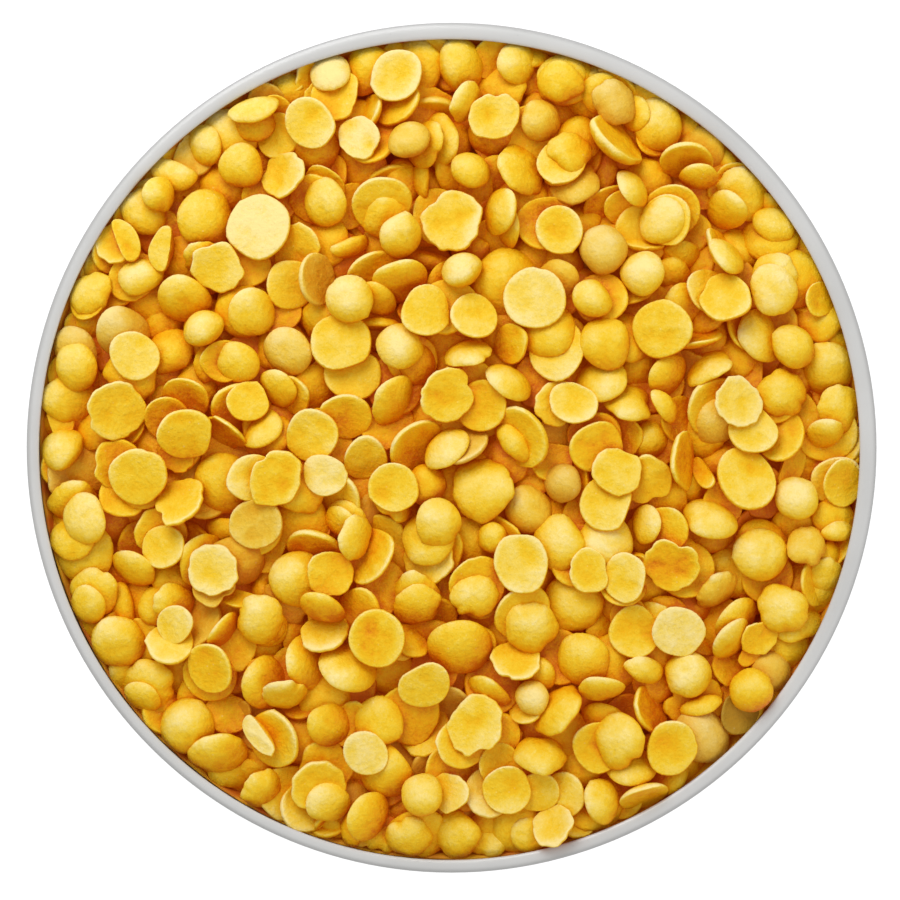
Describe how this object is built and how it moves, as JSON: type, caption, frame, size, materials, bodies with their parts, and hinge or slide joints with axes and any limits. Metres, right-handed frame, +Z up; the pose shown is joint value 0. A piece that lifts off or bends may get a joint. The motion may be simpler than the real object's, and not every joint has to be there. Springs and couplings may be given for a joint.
{
  "type": "dish of dry split lentils",
  "caption": "Small round dish of pale grey enamelled steel with a rolled rim, heaped with dry split yellow lentils.",
  "frame": {"origin": "on the dish's axis, in the plane of its flat foot", "axes": "+Z up along the dish's axis, out of its mouth; +Y is the top of the picture and +X its right"},
  "size_m": [0.0834, 0.0834, 0.0295],
  "materials": {
    "enamel": "gloss enamel",
    "lentil": "dry, slightly waxy and powdery"
  },
  "bodies": {
    "root": {"dish": "enamel", "lentils": "lentil"}
  },
  "joints": []
}
